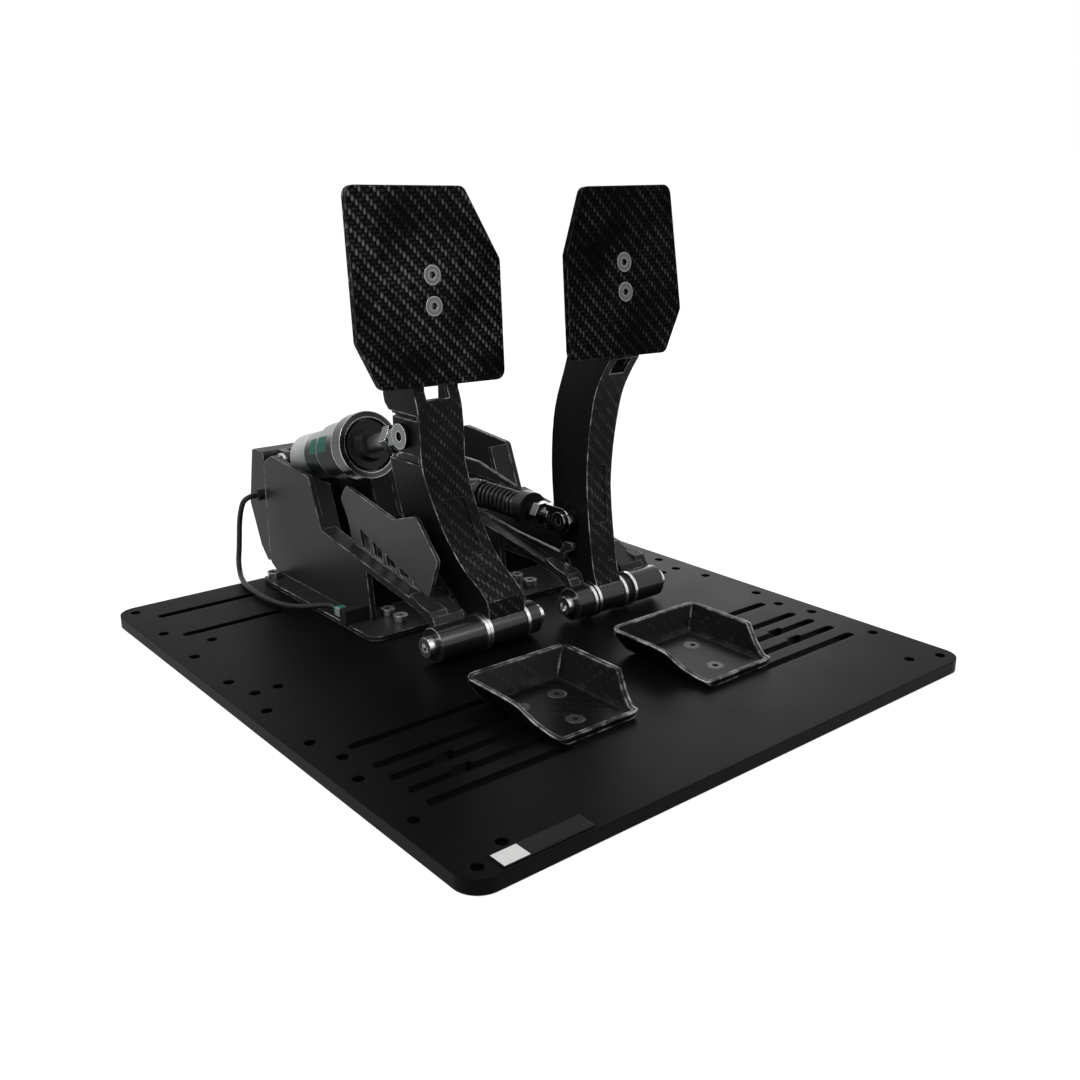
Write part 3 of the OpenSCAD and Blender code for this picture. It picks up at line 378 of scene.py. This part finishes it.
def islands(bm):
    """Points of each connected part of a mesh."""
    left = set(bm.verts)
    while left:
        points, todo = [], [left.pop()]
        while todo:
            vert = todo.pop()
            points.append(vert.co.copy())
            near = {e.other_vert(vert) for e in vert.link_edges} & left
            left -= near
            todo += near
        yield points


def head_centres(node):
    """Middle of each screw's head, from the loaded solids."""
    bm = bmesh.new()
    bm.from_mesh(NODES[node].data)
    bmesh.ops.remove_doubles(bm, verts=bm.verts[:], dist=WELD)
    centres = []
    for points in islands(bm):
        front = min(c.y for c in points)
        head = [c for c in points if c.y < front + HEAD_DEPTH]
        centres.append(tuple((min(axis) + max(axis)) / 2 for axis in zip(*head)))
    bm.free()
    return sorted(centres)


def painted_light_rings(s, centres):
    """Painted light and shade: waves about the nearest centre, 0 to 1, standing in for how light falls on
    the screw heads.
    """
    nearest, *others = (vector_calc(s.nt, "DISTANCE", s.place, c) for c in centres)
    for distance in others:
        nearest = nearest.at_most(distance)
    return (nearest * (2 * math.pi / SHADE_RING_PITCH)).calc("SINE") * 0.5 + 0.5


def metal(name, colour, rough, stretch, edge=0.4 * MM, rim=None, centres=()):
    """Brushed or turned metal with painted shade in its corners and where other parts come near.

    Its fine lines are drawn out along one axis, and it may have a painted highlight along its edges and
    rings of painted light and shade about centres.
    """
    s = Surface(name)
    lines = s.noise(BRUSH_SCALE, at=[length * k for length, k in zip((s.x, s.y, s.z), stretch)])
    brushed = tint((lines + s.noise(BLOTCH_SCALE)) * 0.5, shaded(colour, WORN_SHARE), colour)
    # Painted light and shade in rings about the screw heads
    if centres:
        brushed = tint(painted_light_rings(s, centres), shaded(colour, SHADE_RING_SHARE), brushed)
    # Painted highlight: a bright line along the outer edges
    if rim:
        brushed = tint(s.edge_line(2 * edge), brushed, grey(rim))
    # Painted shade: darker in corners and close to other parts
    unshaded = s.openness(CORNER_SHADE_REACH, CORNER_SHADE_POWER, False)
    s.set("Base Color", tint(unshaded, shaded(colour, CORNER_SHADE_SHARE), brushed))
    s.set("Metallic", 1.0)
    s.set("Roughness", lines * BRUSH_ROUGHNESS + (rough - BRUSH_ROUGHNESS / 2))
    s.relief(lines, BRUSH_DEPTH, BRUSH_STRENGTH, edge)
    return s.material


# Damper paint and painted light
PAINT_SCALE = 700
LIT_SPAN, LIT_AXIS, DARK_POWER = 18 * MM, 0.35, 6.0
GREEN_ASIDE, GREEN_OVER = -2 * MM, (1 * MM, 11 * MM)
GREEN = (0.010, 0.10, 0.078)
BAND_RIM, BAND_RIM_GREY = 0.9 * MM, 0.8


def damper_paint_and_painted_light(name, dark_band, green_block):
    """Satin paint, with painted light that makes it white on top and grey below; a dark band with a painted
    highlight along its top, and a green block on its left shoulder.

    The band and the block are lengths along the damper from its front pin. There is no lettering.
    """
    s = Surface(name)
    fine = s.noise(PAINT_SCALE)
    y, z = s.y - DAMPER_PIN.y, s.z - DAMPER_PIN.z
    along = y * math.cos(DAMPER_SLOPE) - z * math.sin(DAMPER_SLOPE)
    over = z + along * math.sin(DAMPER_SLOPE)
    # Painted light: lighter the higher the surface stands above the damper's axis
    lit = (over / LIT_SPAN + LIT_AXIS).at_least(0.0)
    painted_shaded_side = tint(fine, (0.05, 0.054, 0.053), (0.09, 0.095, 0.093))
    painted_lit_top = tint(fine, (0.48, 0.50, 0.495), (0.66, 0.68, 0.675))
    dark = tint(fine, (0.010, 0.012, 0.012), (0.022, 0.025, 0.025))
    # Painted highlight along the top of the dark band
    dark = tint(lit ** DARK_POWER, dark, (0.40, 0.42, 0.415))
    colour = tint(along.between(*dark_band), tint(lit, painted_shaded_side, painted_lit_top), dark)
    shoulder = (s.x - DAMPER_PIN.x).below(GREEN_ASIDE) * over.between(*GREEN_OVER)
    colour = tint(along.between(*green_block) * shoulder, colour, GREEN)
    # Painted highlight: a pale line along the outer edges
    s.set("Base Color", tint(s.edge_line(BAND_RIM), colour, grey(BAND_RIM_GREY)))
    s.set("Roughness", fine * 0.1 + 0.25)
    s.set("Specular IOR Level", 0.05)
    s.set("Coat Weight", 0.05)
    s.set("Coat Roughness", 0.05)
    s.relief(fine, depth=0.02 * MM, strength=0.3, edge=0.5 * MM)
    return s.material


# Circuit board: tracks in a metre each way, and the share of each pitch beside its track
TRACKS_Y, TRACKS_Z = 220.0, 180.0
BESIDE_Y, BESIDE_Z = 0.85, 0.88
TRACK_PATCHES = 90


def board_paint(name):
    """Green mask with fine bright tracks."""
    s = Surface(name)
    upright = (s.y * TRACKS_Y).calc("FRACT").above(BESIDE_Y)
    level = (s.z * TRACKS_Z).calc("FRACT").above(BESIDE_Z)
    tracks = upright.at_least(level) * s.noise(TRACK_PATCHES, detail=1).above(0.5)
    s.set("Base Color", tint(tracks, (0.01, 0.07, 0.03), (0.05, 0.22, 0.10)))
    s.set("Roughness", 0.4)
    s.relief(tracks, depth=0.05 * MM, strength=0.5, edge=0.3 * MM)
    return s.material


# Materials
plate = coated("plate_coat", grey(0.0012), (0.0034, 0.0034, 0.0033), rough=0.4, spec=0.032,
               grain_scale=1500, grain_depth=0.06 * MM, edge=1.2 * MM)
face_carbon = carbon("carbon_face", 2.45 * MM, grey(0.0012), (0.15, 0.152, 0.148), rough=0.4, spec=0.02,
                     edge=1.2 * MM, relief=0.12 * MM, rim=0.1)
# Painted shade: the same face carbon, darker for the throttle face
face_painted_shade = carbon("carbon_face_dark", 2.45 * MM, grey(0.001), (0.055, 0.055, 0.054), rough=0.4, spec=0.01,
                   edge=1.2 * MM, relief=0.12 * MM, rim=0.08)
arm_carbon = carbon("carbon_arm", 2.3 * MM, (0.0062, 0.0062, 0.0061), (0.07, 0.07, 0.069), rough=0.38,
                    spec=0.045, edge=1.1 * MM, relief=0.03 * MM, rim=0.95, tube=grey(0.05), plain=0.92,
                    pockets=(BRAKE_POCKET, THROTTLE_POCKET))
frame_carbon = carbon("carbon_frame", 2.0 * MM, (0.0180, 0.0183, 0.0174), (0.025, 0.025, 0.0242),
                      rough=0.38, spec=0.09, edge=1.1 * MM, relief=0.004 * MM, rim=0.55, tube=grey(0.05),
                      plain=0.6, cheek=CHEEK_X)
heel_carbon = carbon("carbon_heel", 2.6 * MM, grey(0.0022), (0.011, 0.011, 0.0108), rough=0.38, spec=0.015,
                     edge=2.2 * MM, relief=0.012 * MM, rim=0.75, coat=0.17, plain=0.6)

silver = metal("bright_steel", (0.74, 0.74, 0.75), rough=0.26, stretch=(1, 6, 6))
bolt_steel = metal("bolt_steel", (0.78, 0.78, 0.79), rough=0.26, stretch=(6, 6, 1), rim=0.95)
brake_screws = metal("screw_steel_brake", (0.20, 0.207, 0.197), rough=0.3, stretch=(6, 1, 6),
                     rim=0.36, centres=head_centres("brake_face_screws"))
# Painted shade: the throttle's screws are a darker copy of the brake's steel
throttle_screws = metal("screw_steel_throttle", (0.15, 0.154, 0.149), rough=0.3, stretch=(6, 1, 6),
                        rim=0.28, centres=head_centres("throttle_face_screws"))
chrome = metal("dark_chrome", (0.15, 0.16, 0.158), rough=0.16, stretch=(6, 1, 1), rim=0.85)
steel = metal("ground_steel", (0.45, 0.45, 0.47), rough=0.32, stretch=(8, 1, 1))
collar = metal("collar_alloy", (0.07, 0.075, 0.072), rough=0.2, stretch=(6, 1, 1), edge=0.7 * MM, rim=0.85)

black_alu = coated("black_anodised", (0.004, 0.004, 0.0045), (0.014, 0.014, 0.0145), rough=0.34, spec=0.3,
                   grain_scale=1800, grain_depth=0.03 * MM)
moulding = coated("black_moulding", grey(0.006), grey(0.016), rough=0.5, spec=0.2,
                  grain_scale=900, grain_depth=0.08 * MM)
jacket = coated("cable_jacket", grey(0.005), grey(0.014), rough=0.45, spec=0.25,
                grain_scale=700, grain_depth=0.06 * MM, edge=0)
wire_coat = coated("spring_coat", grey(0.004), grey(0.016), rough=0.34, spec=0.4,
                   grain_scale=900, grain_depth=0.05 * MM, edge=0)
plug_white = coated("plug_white", (0.20, 0.23, 0.215), (0.32, 0.35, 0.33), rough=0.4, spec=0.3,
                    grain_scale=600, grain_depth=0.05 * MM, edge=0.4 * MM)
plug_green = coated("plug_green", (0.012, 0.12, 0.09), (0.03, 0.19, 0.145), rough=0.4, spec=0.3,
                    grain_scale=600, grain_depth=0.05 * MM, edge=0.4 * MM)
label_pale = coated("label_pale", (0.62, 0.62, 0.61), (0.74, 0.74, 0.73), rough=0.42, spec=0.5,
                    grain_scale=800, grain_depth=0.03 * MM, edge=0)
label_dark = coated("label_dark", grey(0.0018), grey(0.004), rough=0.4, spec=0.12,
                    grain_scale=800, grain_depth=0.03 * MM, edge=0)

can_paint_and_painted_light = damper_paint_and_painted_light("damper_can_paint", (118 * MM, 136 * MM), (119 * MM, 128 * MM))
sleeve_paint_and_painted_light = damper_paint_and_painted_light("damper_sleeve_paint", (85.5 * MM, 117.5 * MM), (98 * MM, 110 * MM))
board_green = board_paint("board_paint")

# The nodes that have each look; all others are bright steel
LOOKS = (
    (plate, ("base_plate",)),
    (face_carbon, ("brake_face",)),
    (face_painted_shade, ("throttle_face",)),
    (arm_carbon, ("brake_arm", "throttle_arm")),
    (frame_carbon, ("brake_frame", "throttle_frame", "brake_bulkhead", "throttle_bulkhead")),
    (heel_carbon, ("brake_heel_rest", "throttle_heel_rest")),
    (bolt_steel, ("brake_frame_bolts", "throttle_frame_bolts")),
    (brake_screws, ("brake_face_screws",)),
    (throttle_screws, ("throttle_face_screws",)),
    (chrome, ("damper_eyelet", "damper_lock_nut", "brake_pin", "spring_eye", "spring_lock_nut",
              "throttle_pin")),
    (collar, ("damper_collar",)),
    (can_paint_and_painted_light, ("damper_can",)),
    (sleeve_paint_and_painted_light, ("damper_sleeve",)),
    (steel, ("brake_pivot_shaft", "throttle_pivot_shaft", "brake_pin_spacers", "damper_rod",
             "damper_piston", "brake_load_cell", "spring_rod", "throttle_magnet")),
    (black_alu, ("heel_rest_screws", "damper_seal_head", "damper_tail", "damper_clevis", "spring_cap",
                 "spring_guide", "spring_anchor")),
    (moulding, ("throttle_sensor", "cable_socket", "cable_gland")),
    (board_green, ("control_board",)),
    (jacket, ("sensor_cable",)),
    (plug_white, ("cable_plug",)),
    (wire_coat, ("throttle_spring",)),
)
look_of = {node: look for look, nodes in LOOKS for node in nodes}
for name, obj in NODES.items():
    obj.data.materials.clear()
    obj.data.materials.append(look_of.get(name, silver))


# Mesh helpers
def piece(name, bm, mats, body, smooth=True):
    bm.normal_update()
    me = bpy.data.meshes.new(name)
    bm.to_mesh(me)
    bm.free()
    for f in me.polygons:
        f.use_smooth = smooth
    for m in mats:
        me.materials.append(m)
    ob = add_object(name, me)
    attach(ob, body)
    return ob


def sweep(bm, path, radius, around):
    """Closed tube along a list of points."""
    rows, normal = [], None
    for i, p in enumerate(path):
        t = (path[min(i + 1, len(path) - 1)] - path[max(i - 1, 0)]).normalized()
        if normal is None:
            normal = t.orthogonal().normalized()
        normal = (normal - t * normal.dot(t)).normalized()
        side = t.cross(normal)
        rows.append([bm.verts.new(p + radius * (math.cos(a) * normal + math.sin(a) * side))
                     for a in (2 * math.pi * k / around for k in range(around))])
    for a, b in zip(rows, rows[1:]):
        for k in range(around):
            bm.faces.new((a[k], a[(k + 1) % around], b[(k + 1) % around], b[k]))
    bm.faces.new(list(reversed(rows[0])))
    bm.faces.new(rows[-1])


def block(bm, lo, hi, bevel, mat):
    """Box with rounded edges."""
    made = bmesh.ops.create_cube(bm, size=1.0)["verts"]
    for v in made:
        v.co = Vector([(lo[k] + hi[k]) / 2 + v.co[k] * (hi[k] - lo[k]) for k in range(3)])
    edges = list({e for v in made for e in v.link_edges})
    for f in {f for v in made for f in v.link_faces}:
        f.material_index = mat
    out = bmesh.ops.bevel(bm, geom=edges, offset=bevel, segments=3, profile=0.5, affect="EDGES")
    for f in out["faces"]:
        f.material_index = mat


# Brake sensor cable: the route of the source's cable, in millimetres
GLAND_Y = 228.088
ROUTE = [(-73, GLAND_Y, 68), (-78, GLAND_Y, 68), (-83, GLAND_Y + 1, 65), (-85.5, GLAND_Y + 2, 58),
         (-87, GLAND_Y + 3, 48), (-88, GLAND_Y + 3, 38), (-89.5, GLAND_Y + 2, 28), (-91.5, GLAND_Y, 20),
         (-94, GLAND_Y - 6, 14), (-97, GLAND_Y - 15, 11.2), (-100, GLAND_Y - 27, 10.4), (-102, 188, 10.4),
         (-102.5, 174, 10.4), (-102, 160, 10.4), (-100, 146, 10.6), (-96.5, 133, 11.6), (-91.5, 121, 13.6),
         (-85.5, 111, 16), (-82, 103, 17), (-82, 98, 17)]
ROUTE_STEPS = 6


def smooth_line(points, steps):
    """Even curve through the points."""
    p = [2 * points[0] - points[1], *points, 2 * points[-1] - points[-2]]
    out = []
    for i in range(1, len(p) - 2):
        a, b, c, d = p[i - 1:i + 3]
        for k in range(steps):
            t = k / steps
            out.append(0.5 * (2 * b + (c - a) * t + (2 * a - 5 * b + 4 * c - d) * t * t
                              + (3 * b - a - 3 * c + d) * t ** 3))
    return out + [points[-1]]


line = smooth_line([Vector(q) * MM for q in ROUTE], ROUTE_STEPS)
curve = bpy.data.curves.new("cable", "CURVE")
curve.dimensions = "3D"
curve.bevel_depth = 2.0 * MM
curve.bevel_resolution = 5
curve.use_fill_caps = True
spline = curve.splines.new("POLY")
spline.points.add(len(line) - 1)
for pt, q in zip(spline.points, line):
    pt.co = (*q, 1)
spline.use_smooth = True
curve.materials.append(jacket)
cable = add_object("cable", curve)
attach(cable, "base")
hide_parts("sensor_cable")
cable_length = sum((b - a).length for a, b in zip(line, line[1:]))

# Plug: a pale housing with three keys below, a green latch on top and a green boot of four ribs
PALE_PART, GREEN_PART = 0, 1
HOUSING_LENGTH, HOUSING_BEVEL = 7.5 * MM, 0.6 * MM
RIBS, RIB_FROM, RIB_PITCH, RIB_LENGTH, RIB_BEVEL = 4, 7.6 * MM, 1.1 * MM, 0.95 * MM, 0.25 * MM
RIB_INSET, RIB_TAPER, RIB_FLATTEN = 0.5 * MM, 0.35 * MM, 0.8
LATCH_INSET, LATCH_FROM, LATCH_TO, LATCH_BEVEL = 1.6 * MM, 1.0 * MM, 6.6 * MM, 0.4 * MM
LATCH_SUNK, LATCH_PROUD = 0.6 * MM, 0.7 * MM
KEYS, KEY_AT, KEY_PITCH, KEY_HALF, KEY_BEVEL = 3, 1.4 * MM, 2.1 * MM, 0.35 * MM, 0.1 * MM
KEY_FROM, KEY_TO, KEY_PROUD, KEY_SUNK = 1.2 * MM, 6.8 * MM, 0.15 * MM, 0.5 * MM
lo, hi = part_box("cable_plug")
bm = bmesh.new()
block(bm, lo, (hi.x, lo.y + HOUSING_LENGTH, hi.z), HOUSING_BEVEL, PALE_PART)
for k in range(RIBS):
    y = lo.y + RIB_FROM + RIB_PITCH * k
    inset = RIB_INSET + RIB_TAPER * k
    rise = inset * RIB_FLATTEN
    block(bm, (lo.x + inset, y, lo.z + rise),
          (hi.x - inset, y + RIB_LENGTH, hi.z - rise), RIB_BEVEL, GREEN_PART)
block(bm, (lo.x + LATCH_INSET, lo.y + LATCH_FROM, hi.z - LATCH_SUNK),
      (hi.x - LATCH_INSET, lo.y + LATCH_TO, hi.z + LATCH_PROUD), LATCH_BEVEL, GREEN_PART)
for k in range(KEYS):
    x = lo.x + KEY_AT + KEY_PITCH * k
    block(bm, (x - KEY_HALF, lo.y + KEY_FROM, lo.z - KEY_PROUD),
          (x + KEY_HALF, lo.y + KEY_TO, lo.z + KEY_SUNK), KEY_BEVEL, PALE_PART)
plug = piece("plug", bm, [plug_white, plug_green], "base", smooth=False)
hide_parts("cable_plug")
tuple(line[0])

# Throttle spring: round wire along the source's coil, from S0 to S1 along the unit from its front pin
UNIT_PIN = Vector((0.0536, 0.016, 0.073))
UNIT_DIR = Vector((0, 112, -1)).normalized()
UNIT_SIDE = Vector((1, 0, 0))
UNIT_UP = Vector((0, UNIT_DIR.z, -UNIT_DIR.y))
WIRE, COIL_R, TURNS, S0, S1 = 1.2 * MM, 8.7 * MM, 9, 44 * MM, 91 * MM
END_GAP = 0.1 * MM
TURN_STEPS, WIRE_SIDES = 32, 10
start = S0 + END_GAP + WIRE
pitch = (S1 - S0 - 2 * WIRE - 2 * END_GAP) / TURNS
path = []
for k in range(TURN_STEPS * TURNS + 1):
    turn = k / TURN_STEPS
    a = 2 * math.pi * turn
    path.append(UNIT_PIN + UNIT_DIR * (start + pitch * turn)
                + UNIT_SIDE * COIL_R * math.cos(a) + UNIT_UP * COIL_R * math.sin(a))
bm = bmesh.new()
sweep(bm, path, WIRE, WIRE_SIDES)
spring = piece("coil_spring", bm, [wire_coat], "spring_body")
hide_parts("throttle_spring")
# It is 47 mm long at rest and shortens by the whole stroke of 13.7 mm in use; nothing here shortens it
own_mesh(spring)

# Label plate near the front edge, blank, with a pale and a dark field
PALE_FIELD, DARK_FIELD = 0, 1
LABEL_X, LABEL_Y = (-174.5 * MM, -120.5 * MM), (-208.5 * MM, -196.5 * MM)
PALE_X, DARK_X, FIELD_Y = (-173.8 * MM, -159.0 * MM), (-158.2 * MM, -121.2 * MM), (-207.8 * MM, -197.2 * MM)
LABEL_T, FIELD_FROM, PALE_TO, DARK_TO = 0.5 * MM, 0.3 * MM, 0.65 * MM, 0.62 * MM
LABEL_BEVEL, FIELD_BEVEL = 0.2 * MM, 0.12 * MM
bm = bmesh.new()
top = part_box("base_plate")[1].z
for (x0, x1), (y0, y1), z0, z1, bevel, mat in (
        (LABEL_X, LABEL_Y, 0, LABEL_T, LABEL_BEVEL, DARK_FIELD),
        (PALE_X, FIELD_Y, FIELD_FROM, PALE_TO, FIELD_BEVEL, PALE_FIELD),
        (DARK_X, FIELD_Y, FIELD_FROM, DARK_TO, FIELD_BEVEL, DARK_FIELD)):
    block(bm, (x0, y0, top + z0), (x1, y1, top + z1), bevel, mat)
piece("label_plate", bm, [label_pale, label_dark], "base", smooth=False)


# Surroundings
FLOOR_RADIUS, FLOOR_SIDES, FLOOR_DROP = 60, 96, 0.6 * MM
FLOOR_GREY, FLOOR_GLOW = 0.45, 0.8
WORLD_LOW, WORLD_SEEN = 0.5, 1.0


def seen(nt):
    """One for rays that show a surface to the camera, straight or mirrored, and nought for light."""
    rays = new_node(nt, "LightPath").outputs
    names = ("Is Camera Ray", "Is Glossy Ray", "Is Transmission Ray")
    camera, glossy, through = (Value(nt, rays[name]) for name in names)
    return camera.at_least(glossy.at_least(through))


def floor_paper(name):
    """Pale paper that keeps the shadow and shows as white."""
    mat = bpy.data.materials.new(name)
    mat.use_nodes = True
    nt = mat.node_tree
    nt.nodes.clear()
    paper = new_node(nt, "BsdfDiffuse", Color=(*grey(FLOOR_GREY), 1))
    glow = new_node(nt, "Emission", Strength=seen(nt) * FLOOR_GLOW)
    both = new_node(nt, "AddShader")
    out = new_node(nt, "OutputMaterial")
    nt.links.new(paper.outputs[0], both.inputs[0])
    nt.links.new(glow.outputs[0], both.inputs[1])
    nt.links.new(both.outputs[0], out.inputs["Surface"])
    return mat


bm = bmesh.new()
bmesh.ops.create_circle(bm, cap_ends=True, segments=FLOOR_SIDES, radius=FLOOR_RADIUS)
me = bpy.data.meshes.new("floor")
bm.to_mesh(me)
bm.free()
me.materials.append(floor_paper("floor_paper"))
floor = add_object("floor", me)
floor.location.z = -FLOOR_DROP

# World: white where it is seen, a low even light elsewhere
world = bpy.data.worlds.new("studio")
scene.world = world
world.use_nodes = True
background = world.node_tree.nodes["Background"]
background.inputs["Color"].default_value = (1, 1, 1, 1)
put(world.node_tree, background.inputs["Strength"], lerp(seen(world.node_tree), WORLD_LOW, WORLD_SEEN))

# Lamps: name, place, width and watts, all turned to the middle of the part
LAMP_AIM = Vector((0, 0, 0.1))
LAMPS = (
    ("key", (-1.0, -0.15, 1.25), 0.4, 9),
    ("fill", (0.7, -1.2, 1.2), 0.7, 4),
    ("rear", (1.35, 1.15, 0.5), 0.9, 4.3),
)
for name, at, size, watts in LAMPS:
    data = bpy.data.lights.new(name, "AREA")
    data.shape = "DISK"
    data.size = size
    data.energy = watts
    stand(add_object(name, data), at, Vector(at) - LAMP_AIM)
